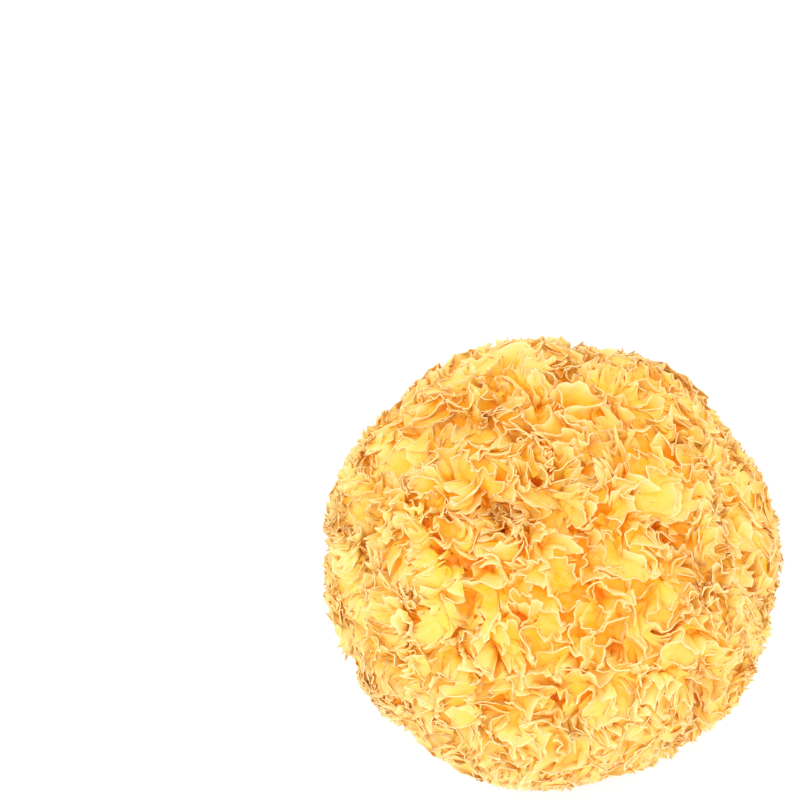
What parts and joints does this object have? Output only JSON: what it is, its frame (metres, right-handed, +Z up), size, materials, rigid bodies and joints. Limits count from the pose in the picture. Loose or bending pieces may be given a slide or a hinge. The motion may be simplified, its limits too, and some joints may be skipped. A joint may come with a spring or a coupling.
{
  "type": "snow fungus",
  "caption": "Dried snow fungus head: a round ball of thin, ruffled membranes around a root that is cut flat and that it rests on.",
  "frame": {"origin": "under the middle of the head, on the surface that the cut root rests on", "axes": "+Z up, out of the cut root towards the crown of the head; +Y away from the viewer of the reference picture"},
  "size_m": [0.1102, 0.1094, 0.0723],
  "materials": {
    "dried_frond": "satin"
  },
  "bodies": {
    "root": {"snow_fungus_head": "dried_frond"}
  },
  "joints": []
}
